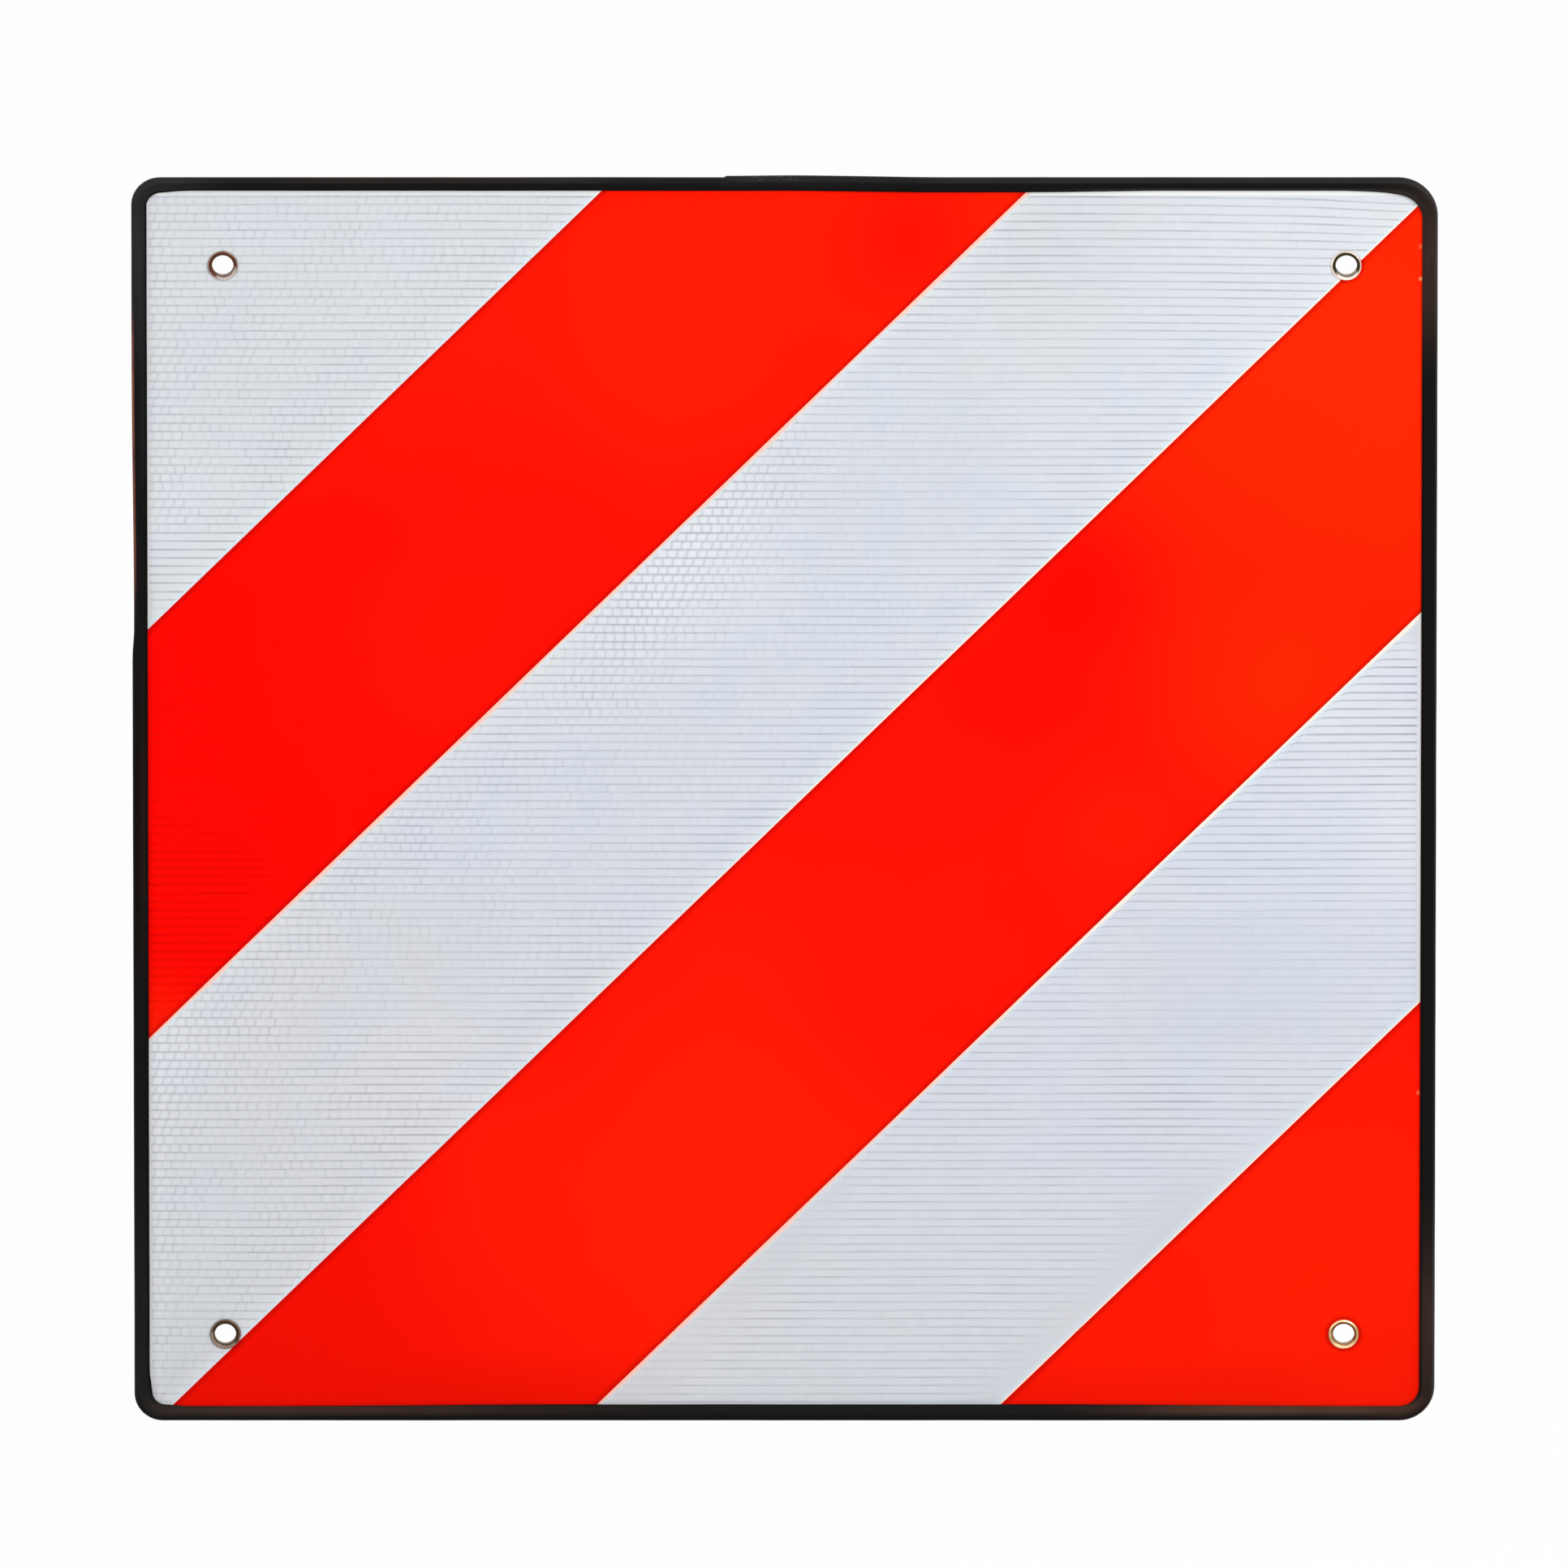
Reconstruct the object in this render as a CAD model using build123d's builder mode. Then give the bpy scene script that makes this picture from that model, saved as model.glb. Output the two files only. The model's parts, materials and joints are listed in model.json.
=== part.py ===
"""Square warning panel for the rear end of a load that sticks out behind a vehicle.

A thin aluminium sheet carries white retroreflective sheeting and three red stripes of overlay film.
A black rubber channel is pushed over the edge, and a brass eyelet near each corner takes a cord or a bolt.

The panel stands upright: X is to the right, Z is up, and the face looks along -Y. The origin is the
middle of the four eyelets, in the back face of the sheet. Depths are counted from there to the front.
All sizes are in millimetres.
"""

import math
import os

from build123d import *

# Overall size, across the rubber edge
panel_size = 500.0

# Sheet and films, from the back to the front
sheet_thickness = 1.0
white_thickness = 0.4
red_thickness = 0.1
left_corner_radius = 9.2
right_corner_radius = 12.0

# Stripes: they rise to the right, and the start is the upper edge of the middle red stripe,
# measured square to the stripes from the middle of the panel towards the lower right
stripe_angle = 45.3
red_stripe_width = 115.8
white_stripe_width = 110.4
stripe_start = 4.2

# Eyelets: a thin brass tube, rolled over at both ends, set in from the outer edges of the rubber
eyelet_inset = 35.0
eyelet_bore = 8.2
eyelet_wall = 0.5
front_roll_radius = 0.45
back_roll_radius = 0.3
eyelet_clearance = 0.1

# Washers under the clinched ends of the eyelets
washer_thickness = 0.6
washer_rim = 1.3
washer_edge_radius = 0.2

# Rubber channel around the edge
trim_cover = 5.9
trim_web = 1.6
trim_leg = 1.6
trim_crown_radius = 2.0
trim_lip_radius = 0.6
trim_edge_gap = 0.2
trim_joint_position = 2.3
trim_joint_gap = 0.4

# The most of a wall that a rounded edge may take
fillet_share = 0.95

# Sizes that follow from those above
sheet_size = panel_size - 2 * (trim_web + trim_edge_gap)
white_front = sheet_thickness + white_thickness
red_front = white_front + red_thickness
barrel_radius = eyelet_bore / 2 + eyelet_wall
front_roll_outside = front_roll_radius + eyelet_wall
back_roll_outside = back_roll_radius + eyelet_wall
flange_radius = eyelet_bore / 2 + 2 * front_roll_outside
clinch_radius = eyelet_bore / 2 + 2 * back_roll_outside
washer_radius = clinch_radius + washer_rim
hole_radius = barrel_radius + eyelet_clearance
stripe_pitch = red_stripe_width + white_stripe_width

eyelet_spacing = panel_size - 2 * eyelet_inset
eyelet_offset = eyelet_spacing / 2
eyelet_places = {
    "top_left": (-eyelet_offset, eyelet_offset),
    "top_right": (eyelet_offset, eyelet_offset),
    "bottom_left": (-eyelet_offset, -eyelet_offset),
    "bottom_right": (eyelet_offset, -eyelet_offset),
}

# Each red stripe: its upper edge and its width, square to the stripes. The last one fills its corner.
red_stripes = {
    "upper": (stripe_start - stripe_pitch, red_stripe_width),
    "middle": (stripe_start, red_stripe_width),
    "corner": (stripe_start + stripe_pitch, panel_size),
}
across_x = math.sin(math.radians(stripe_angle))
across_z = -math.cos(math.radians(stripe_angle))


def face_plane(depth):
    """The plane that lies this far in front of the sheet's back, seen from the front."""
    return Plane.XZ.offset(depth)


def lies_on_red(x, z):
    """True where the flange of an eyelet at this place reaches a red stripe."""
    across = x * across_x + z * across_z
    return any(
        edge - flange_radius < across < edge + width + flange_radius
        for edge, width in red_stripes.values()
    )


def write_piece(part, name):
    """Label one finished piece and write it to its own file."""
    part.label = name
    export_step(part, f"parts/{name}.step")


os.makedirs("parts", exist_ok=True)

# The outline that the sheet and the films are cut to, with the punched eyelet holes
with BuildSketch() as punched_outline:
    Rectangle(sheet_size, sheet_size)
    fillet(punched_outline.vertices().group_by(Axis.X)[0], left_corner_radius)
    fillet(punched_outline.vertices().group_by(Axis.X)[-1], right_corner_radius)
    with GridLocations(eyelet_spacing, eyelet_spacing, 2, 2):
        Circle(hole_radius, mode=Mode.SUBTRACT)

# Aluminium sheet
with BuildPart() as backing_sheet:
    with BuildSketch(face_plane(0)):
        add(punched_outline.sketch)
    extrude(amount=sheet_thickness)
write_piece(backing_sheet.part, "backing_sheet")

# White retroreflective sheeting over the whole face
with BuildPart() as white_sheeting:
    with BuildSketch(face_plane(sheet_thickness)):
        add(punched_outline.sketch)
    extrude(amount=white_thickness)
write_piece(white_sheeting.part, "white_sheeting")

# Red overlay film: slanted strips cut off at the sheet's outline and at the eyelet holes
for stripe_name, (stripe_edge, stripe_width) in red_stripes.items():
    stripe_middle = stripe_edge + stripe_width / 2
    with BuildPart() as red_stripe:
        with BuildSketch(face_plane(white_front)):
            with Locations((stripe_middle * across_x, stripe_middle * across_z)):
                Rectangle(2 * panel_size, stripe_width, rotation=stripe_angle)
            add(punched_outline.sketch, mode=Mode.INTERSECT)
        extrude(amount=red_thickness)
    write_piece(red_stripe.part, f"red_stripe_{stripe_name}")

# Rubber channel: its section runs once around the sheet's edge, from one side of the joint to the other
half_sheet = sheet_size / 2
joint_right = trim_joint_position + trim_joint_gap / 2
joint_left = trim_joint_position - trim_joint_gap / 2
trim_thickness = red_front + 2 * trim_leg
trim_outside = trim_edge_gap + trim_web
slot_depth = trim_cover - trim_web
crown_fillet = min(trim_crown_radius, fillet_share * trim_thickness / 2)
lip_fillet = min(trim_lip_radius, fillet_share * trim_leg)
with BuildPart() as edge_trim:
    with BuildLine(Plane.XZ) as edge_path:
        FilletPolyline(
            (joint_right, half_sheet),
            (half_sheet, half_sheet),
            (half_sheet, -half_sheet),
            (-half_sheet, -half_sheet),
            (-half_sheet, half_sheet),
            (joint_left, half_sheet),
            radius=[right_corner_radius, right_corner_radius, left_corner_radius, left_corner_radius],
        )
    # In the section, x points outwards from the sheet's edge and y to the front
    section_plane = Plane(origin=(joint_right, 0, half_sheet), x_dir=(0, 0, 1), z_dir=(1, 0, 0))
    with BuildSketch(section_plane) as trim_section:
        with Locations((trim_outside - trim_cover / 2, red_front / 2)):
            Rectangle(trim_cover, trim_thickness)
        fillet(trim_section.vertices().group_by(Axis.X)[-1], crown_fillet)
        fillet(trim_section.vertices().group_by(Axis.X)[0], lip_fillet)
        with Locations((trim_edge_gap - slot_depth / 2, red_front / 2)):
            Rectangle(slot_depth, red_front, mode=Mode.SUBTRACT)
    sweep()
write_piece(edge_trim.part, "edge_trim")

# Eyelets and their washers: each eyelet seats on the film under its flange
bore_radius = eyelet_bore / 2
front_roll_middle = bore_radius + front_roll_outside
back_roll_middle = bore_radius + back_roll_outside
clinch_seat = -washer_thickness
washer_fillet = min(washer_edge_radius, fillet_share * washer_thickness)
for place_name, (place_x, place_z) in eyelet_places.items():
    flange_seat = red_front if lies_on_red(place_x, place_z) else white_front
    # In the section, x is the distance from the eyelet's axis and y points to the front
    half_section = Plane(origin=(place_x, 0, place_z), x_dir=(1, 0, 0), z_dir=(0, 0, -1))
    with BuildPart() as eyelet:
        with BuildSketch(half_section):
            with BuildLine():
                Line((bore_radius, clinch_seat), (bore_radius, flange_seat))
                CenterArc((front_roll_middle, flange_seat), front_roll_outside, 0, 180)
                Line((flange_radius, flange_seat), (flange_radius - eyelet_wall, flange_seat))
                CenterArc((front_roll_middle, flange_seat), front_roll_radius, 0, 180)
                Line((barrel_radius, flange_seat), (barrel_radius, clinch_seat))
                CenterArc((back_roll_middle, clinch_seat), back_roll_radius, 180, 180)
                Line((clinch_radius - eyelet_wall, clinch_seat), (clinch_radius, clinch_seat))
                CenterArc((back_roll_middle, clinch_seat), back_roll_outside, 180, 180)
            make_face()
        revolve(axis=Axis((place_x, 0, place_z), (0, 1, 0)))
    write_piece(eyelet.part, f"eyelet_{place_name}")

    with BuildPart() as washer:
        with BuildSketch(face_plane(clinch_seat)):
            with Locations((place_x, place_z)):
                Circle(washer_radius)
                Circle(hole_radius, mode=Mode.SUBTRACT)
        extrude(amount=washer_thickness)
        back_rims = washer.edges().filter_by(GeomType.CIRCLE).group_by(Axis.Y)[-1]
        fillet(back_rims.sort_by(SortBy.RADIUS)[-1], washer_fillet)
    write_piece(washer.part, f"eyelet_washer_{place_name}")
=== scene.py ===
# %% [markdown]
# This is a warning panel for a load that sticks out behind a vehicle: a thin aluminium sheet with
# white reflective sheeting, three red stripes, a black rubber edge and four brass eyelets. A packed
# CAD model gives every size and place. This script gives the looks around it, one piece at a time.
# The frame is loaded first, and its box is kept, because nothing that follows may outgrow it.

# %% Load the frame
import json
import math

import bpy
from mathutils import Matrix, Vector


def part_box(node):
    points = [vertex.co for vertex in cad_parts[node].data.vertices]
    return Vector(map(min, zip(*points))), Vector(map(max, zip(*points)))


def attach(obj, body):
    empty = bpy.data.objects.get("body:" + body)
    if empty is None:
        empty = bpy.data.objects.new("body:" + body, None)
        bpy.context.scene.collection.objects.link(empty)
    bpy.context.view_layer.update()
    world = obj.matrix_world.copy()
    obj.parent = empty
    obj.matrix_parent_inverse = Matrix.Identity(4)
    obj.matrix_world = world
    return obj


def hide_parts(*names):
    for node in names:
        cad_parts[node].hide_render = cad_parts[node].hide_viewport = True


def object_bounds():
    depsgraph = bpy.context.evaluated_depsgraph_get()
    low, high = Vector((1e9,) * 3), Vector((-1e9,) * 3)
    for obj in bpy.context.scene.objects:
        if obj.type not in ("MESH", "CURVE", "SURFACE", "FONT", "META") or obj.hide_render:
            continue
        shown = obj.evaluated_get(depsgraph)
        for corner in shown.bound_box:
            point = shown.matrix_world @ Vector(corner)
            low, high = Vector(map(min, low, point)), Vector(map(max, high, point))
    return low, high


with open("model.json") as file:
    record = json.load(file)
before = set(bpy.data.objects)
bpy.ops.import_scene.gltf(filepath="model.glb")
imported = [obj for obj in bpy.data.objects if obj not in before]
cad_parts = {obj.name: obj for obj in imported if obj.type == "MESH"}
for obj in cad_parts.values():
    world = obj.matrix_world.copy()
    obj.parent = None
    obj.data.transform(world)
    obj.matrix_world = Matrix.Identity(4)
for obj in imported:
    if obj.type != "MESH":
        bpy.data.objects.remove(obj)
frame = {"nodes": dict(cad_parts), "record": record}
cad_low, cad_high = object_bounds()
mm = 0.001
print("CAD box in mm:", [round(side / mm, 2) for side in cad_high - cad_low])

# %% [markdown]
# The stripes rise to the right. A point's place across them is measured square to the stripes, from
# the middle of the panel towards the lower right. Several finishes change beside a red edge, so the
# edges are read from the red films themselves. The last stripe fills its corner, so it has no lower
# edge. The rubber covers a few millimetres all round, and leaves the rest of the face open.

# %% Measure the stripes
stripe_angle = math.radians(45.3)
across_face = Vector((math.sin(stripe_angle), 0, -math.cos(stripe_angle)))
red_stripes = ("red_stripe_upper", "red_stripe_middle", "red_stripe_corner")
channel_cover = 5.9 * mm
open_half = (cad_high.x - channel_cover) / mm


def reach_across(node):
    """The near and the far edge of one red film in millimetres, square to the stripes."""
    places = [across_face.dot(vertex.co) / mm for vertex in frame["nodes"][node].data.vertices]
    return min(places), max(places)


top_edges, under_edges = zip(*(reach_across(stripe) for stripe in red_stripes))
under_edges = under_edges[:-1]
print("upper edges of the red in mm:", [round(edge, 1) for edge in top_edges])
print("lower edges of the red in mm:", [round(edge, 1) for edge in under_edges])

# %% [markdown]
# Node trees soon fill with small Math nodes. This class wraps one socket, so that a finish can be
# written as a sum: each operator adds its Math node. Every other node comes from the node method,
# which sets the node's settings first, and then gives its sockets their values or links.


# %% Write node trees as sums
class Wire:
    """One output socket of a node tree, or the bare tree to start from."""

    def __init__(self, tree, socket=None):
        self.tree = tree
        self.socket = socket

    def node(self, kind, sockets=None, output=0, **settings):
        """Add a node and give back one of its outputs."""
        made = self.tree.nodes.new(kind)
        for name, value in settings.items():
            setattr(made, name, value)
        for name, value in (sockets or {}).items():
            if isinstance(value, Wire):
                self.tree.links.new(value.socket, made.inputs[name])
            else:
                made.inputs[name].default_value = value
        return Wire(self.tree, made.outputs[output]) if made.outputs else None

    def out(self, name):
        """Another output of the same node."""
        return Wire(self.tree, self.socket.node.outputs[name])

    def math(self, operation, *others):
        """A Math node with this socket first."""
        return self.node("ShaderNodeMath", dict(enumerate((self, *others))), operation=operation)

    def __add__(self, other):
        return self.math("ADD", other)

    def __sub__(self, other):
        return self.math("SUBTRACT", other)

    def __rsub__(self, other):
        return self.node("ShaderNodeMath", {0: other, 1: self}, operation="SUBTRACT")

    def __mul__(self, other):
        return self.math("MULTIPLY", other)

    def __truediv__(self, other):
        return self.math("DIVIDE", other)

    def __abs__(self):
        return self.math("ABSOLUTE")

    __radd__ = __add__
    __rmul__ = __mul__

    def ramp(self, start, end, low=0, high=1):
        """A smooth rise from low to high as this value goes from start to end."""
        limits = {"Value": self, "From Min": start, "From Max": end, "To Min": low, "To Max": high}
        return self.node("ShaderNodeMapRange", limits, interpolation_type="SMOOTHSTEP")

    def blend(self, first, second):
        """A colour: the first where this value is 0 and the second where it is 1."""
        sockets = {0: self, 6: first, 7: second}
        return self.node("ShaderNodeMix", sockets, 2, data_type="RGBA", clamp_factor=True)

    def bump(self, strength, depth):
        """A normal from this value as a height, over a depth in millimetres."""
        return self.node("ShaderNodeBump", {"Strength": strength, "Distance": depth * mm, "Height": self})

    def noise(self, place, size, detail=2, roughness=0.5):
        """Soft noise from 0 to 1 with patches about this many of the place's units across."""
        sockets = {"Vector": place, "Scale": 1 / size, "Detail": detail, "Roughness": roughness}
        return self.node("ShaderNodeTexNoise", sockets)

    def part(self, axis):
        """The X, Y or Z of a vector."""
        return self.node("ShaderNodeSeparateXYZ", {"Vector": self}, axis)

    def vector(self, x, y, z=0):
        """A vector of two or three values."""
        return self.node("ShaderNodeCombineXYZ", {"X": x, "Y": y, "Z": z})

    def dice(self, *numbers):
        """One random value for each whole number, or for each pair of them."""
        if len(numbers) == 1:
            return self.node("ShaderNodeTexWhiteNoise", {"W": numbers[0]}, noise_dimensions="1D")
        both = {"Vector": self.vector(*numbers)}
        return self.node("ShaderNodeTexWhiteNoise", both, noise_dimensions="2D")

    def attribute(self, name, output="Fac"):
        """What a mesh carries under this name."""
        return self.node("ShaderNodeAttribute", output=output, attribute_name=name)


print("operators ready:", [name for name in vars(Wire) if name.startswith("__r")])

# %% [markdown]
# Every finish starts from an empty material and ends in one Principled surface. What differs is in a
# function for the looks: from the place on the panel, as a vector, to the right and up, it gives a
# colour, a roughness and what else the surface needs. Colours go over each other as coats of paint do,
# each with the share that it covers. Many shares are soft round patches, written as rows of numbers:
# to the right, up and radius in millimetres, and strength.


# %% Make and paint a finish
def clear_nodes(block):
    """The wire to start from in the emptied node tree of a material or a world."""
    block.use_nodes = True
    block.node_tree.nodes.clear()
    return Wire(block.node_tree)


def make_finish(name, looks, *nodes):
    """A material with these looks at each place in millimetres, also put on some CAD nodes."""
    material = bpy.data.materials.new(name)
    wire = clear_nodes(material)
    metres = wire.node("ShaderNodeTexCoord", output="Object")
    place = wire.node("ShaderNodeVectorMath", {0: metres, "Scale": 1 / mm}, operation="SCALE")
    colour, roughness, others = looks(wire, place, place.part("X"), place.part("Z"))
    sockets = {"Base Color": colour, "Roughness": roughness, **others}
    wire.node("ShaderNodeOutputMaterial", {"Surface": wire.node("ShaderNodeBsdfPrincipled", sockets)})
    for node in nodes:
        frame["nodes"][node].material_slots[0].material = material
    print(name, "has", len(wire.tree.nodes), "nodes and is put on", nodes)
    return material


def distance(aside, above):
    """How far away something is that lies so far aside and above."""
    return (aside * aside + above * above).math("SQRT")


def spot(x, z, right, up, radius):
    """A soft round patch on the face: 1 at its middle and 0 at its radius."""
    return distance(x - right, z - up).ramp(radius, 0)


def patches(x, z, rows):
    """The sum of some soft patches, each with its strength."""
    return sum(spot(x, z, *patch) * strength for *patch, strength in rows)


def paint_over(colour, *coats):
    """A colour under coats of others, each with its share."""
    for share, coat in coats:
        colour = share.blend(colour, coat)
    return colour


print("the open face reaches to", round(open_half, 1), "mm from the middle")

# %% [markdown]
# The white sheeting holds its glass beads in small sealed cells, laid in rows like bricks. The seals
# show as thin grey lines under a smooth cover. They could be cut into the mesh, but there are about
# twenty thousand cells and nothing to feel, so they are worked out in the material: the row from the
# height, the cell from the place along its row, and a line wherever the nearest seal is close.

# %% Lay out the sealed cells
row_pitch = 3.37
cell_width = 3.85
seal_width = 0.62
rim_width = 1.1
corner_width = 1.4
row_unevenness = 0.35
cell_unevenness = 0.6
brick_unevenness = 0.4
wave_height = 0.6
wave_length = 110
cell_slant = 0.9
slant_length = 23
pressed_length = 21
joined_length = 17


def sealed_cells(wire, place, x, z, width=seal_width):
    """Lines of 0 to 1 for rows and dividers, the dividers' luck, the cell's rim, and a dice a cell."""
    wave = (wire.noise(place, wave_length, detail=1) - 0.5) * (2 * wave_height)
    height = (z + wave) / row_pitch
    seal = height.math("ROUND")
    row_place = abs(height - seal + (wire.dice(seal) - 0.5) * (row_unevenness / row_pitch)) * row_pitch
    pressed = wire.noise(wire.vector(x / pressed_length, seal * 5.7), 1).ramp(0.25, 0.72, 0.5, 1)
    row_line = row_place.ramp(width, 0) * pressed
    row = height.math("FLOOR")
    bond = row.math("FLOORED_MODULO", 2) * 0.5 + wire.dice(row) * brick_unevenness
    lean = wire.noise(place, slant_length, detail=0).ramp(0.35, 0.65, 0, 0.85)
    along = x / cell_width + bond - (height - row - 0.5) * lean * (cell_slant / cell_width)
    divider = along.math("ROUND")
    luck = wire.dice(divider, row)
    divider_place = abs(along - divider + (luck - 0.5) * (cell_unevenness / cell_width)) * cell_width
    joined = wire.noise(wire.vector(x / joined_length, row * 3.9), 1).ramp(0.32, 0.62, 0.15, 1)
    corner = divider_place.ramp(corner_width, 0) * row_place.ramp(corner_width, 0)
    divider_line = divider_place.ramp(seal_width, 0).math("MAXIMUM", corner * 0.8)
    patchy = joined * luck.ramp(0.1, 0.9, 0.15, 1.2)
    rim = row_place.math("MINIMUM", divider_place).ramp(rim_width, 0.2)
    return row_line, divider_line, patchy, rim, wire.dice(along.math("FLOOR"), row)


def across_stripes(x, z):
    """A point's place across the stripes."""
    return x * across_face.x + z * across_face.z


def nearest_of(across, edges):
    """How far a point is from the nearest of these edges."""
    nearest = abs(across - edges[0])
    for edge in edges[1:]:
        nearest = nearest.math("MINIMUM", abs(across - edge))
    return nearest


print("cells on the face: about", round((cad_high.x - cad_low.x) ** 2 / mm**2 / row_pitch / cell_width))

# %% [markdown]
# The seals show in some places more than in others: the rows beside the red edges and at the right,
# and the dividers at the left and in one patch below the upper stripe. In the two narrow tips of
# white at the sides, the dividers and then the rows fade out, and a pale band crosses the white at the
# right. Each of these is a soft field that scales the lines.

# %% Say where the seals show
row_patches = (
    (-140, -68, 60, -0.3),
    (50, 138, 70, -0.3),
    (150, -180, 50, -0.8),
    (178, 178, 30, -0.3),
    (-205, -80, 40, -0.2),
    (-230, -224, 50, -0.5),
    (-155, -118, 45, 0.55),
    (-95, -74, 28, 0.35),
    (-78, 16, 22, -0.2),
    (88, 222, 25, 0.25),
    (158, 160, 30, -0.15),
    (148, -122, 45, 0.5),
    (90, -168, 40, 0.35),
    (130, 238, 45, 0.35),
    (-244, 70, 20, -1),
    (243, 70, 16, -1),
)
divider_patches = ((-125, -85, 60, -0.6), (-236, -232, 42, -0.45))


def row_strength(wire, place, x, z, across, edge_gap, left_tip):
    """How clearly the rows show at each place."""
    right_tip = x.ramp(170, 225) * z.ramp(-20, 35) * z.ramp(110, 80)
    show = wire.noise(place, 38).ramp(0.3, 0.65, 0.42, 0.58)
    show = show + edge_gap.ramp(42, 10) * x.ramp(235, 150) * 0.17
    show = show + x.ramp(70, 210) * 0.15 + left_tip * 0.25 + right_tip * 0.4
    for *patch, change in row_patches:
        show = show * (1 + spot(x, z, *patch) * change)
    pale_band = abs(z + 72).ramp(42, 18) * x.ramp(92, 145) * x.ramp(240, 185, 0.4, 1)
    pale_end = abs(across - under_edges[1]).ramp(26, 8) * x.ramp(40, 18) * 0.65
    pale_end = pale_end + abs(across - top_edges[2]).ramp(34, 8) * x.ramp(210, 150) * 0.45
    return show * (1 - pale_band * 0.6) * (1 - pale_end)


def divider_strength(x, z, across, left_tip):
    """How clearly the dividers between the cells of a row show at each place."""
    below_upper = across - under_edges[0]
    beside_upper = below_upper.ramp(50, 8) * below_upper.math("GREATER_THAN", 0)
    clear_cells = abs(x + 40).ramp(60, 5) * 0.8 + x.ramp(-150, -225) * 0.27
    show = x.ramp(-20, -180) * 0.18 + x.ramp(-222, -240) * 0.22 + beside_upper * clear_cells
    show = show + across.ramp(20, -20) * x.ramp(110, 10) * 0.1 + 0.06
    show = show * (1 + patches(x, z, divider_patches))
    return show.math("MINIMUM", 1) * (1 - left_tip)


print("patches that change the rows and the dividers:", len(row_patches), len(divider_patches))

# %% [markdown]
# The white itself isn't even: it is cooler towards the right and greyer at the lower left, and lit in
# patches. Beside a red edge the seals stop short, in a pale margin, and a thin line of cream sealer
# runs along the edge itself, broadest under a stripe. The rows bend down where they end below the
# middle stripe, and sink towards the upper right corner. Gloss is low: the face looks down at a pale
# floor, and a strong mirror would wash out the red beside it.

# %% Make the white sheeting's finish
neutral_white = (0.645, 0.671, 0.699, 1)
cool_white = (0.610, 0.666, 0.761, 1)
low_white = (0.618, 0.678, 0.712, 1)
corner_white = (0.612, 0.645, 0.640, 1)
lit_white = (0.720, 0.750, 0.800, 1)
pale_white = (0.740, 0.765, 0.775, 1)
cell_white = (0.800, 0.830, 0.880, 1)
margin_white = (0.640, 0.775, 0.850, 1)
lip_white = (0.890, 0.900, 0.870, 1)
peach_sealer = (0.960, 0.580, 0.470, 1)
cream_sealer = (0.960, 0.830, 0.690, 1)
seal_grey = (0.300, 0.315, 0.350, 1)
lit_patches = (
    (-240, 115, 60, 0.35),
    (-42, 102, 62, 0.55),
    (-105, 56, 55, 0.4),
    (207, 42, 26, 0.4),
    (245, -15, 45, 0.35),
    (-235, -98, 26, 0.35),
    (-38, -208, 36, 0.3),
    (-139, -113, 50, 0.25),
)
cool_patches = (
    (130, -30, 370, 1),
    (73, 86, 45, -0.4),
    (101, -85, 70, -0.4),
    (196, -113, 40, -0.35),
    (140, -40, 45, -0.35),
    (85, 190, 65, -0.35),
    (-118, -8, 75, 0.4),
)
row_end_drop = 1.1
corner_drop = 1.4
lip_drop = 1.6


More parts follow.
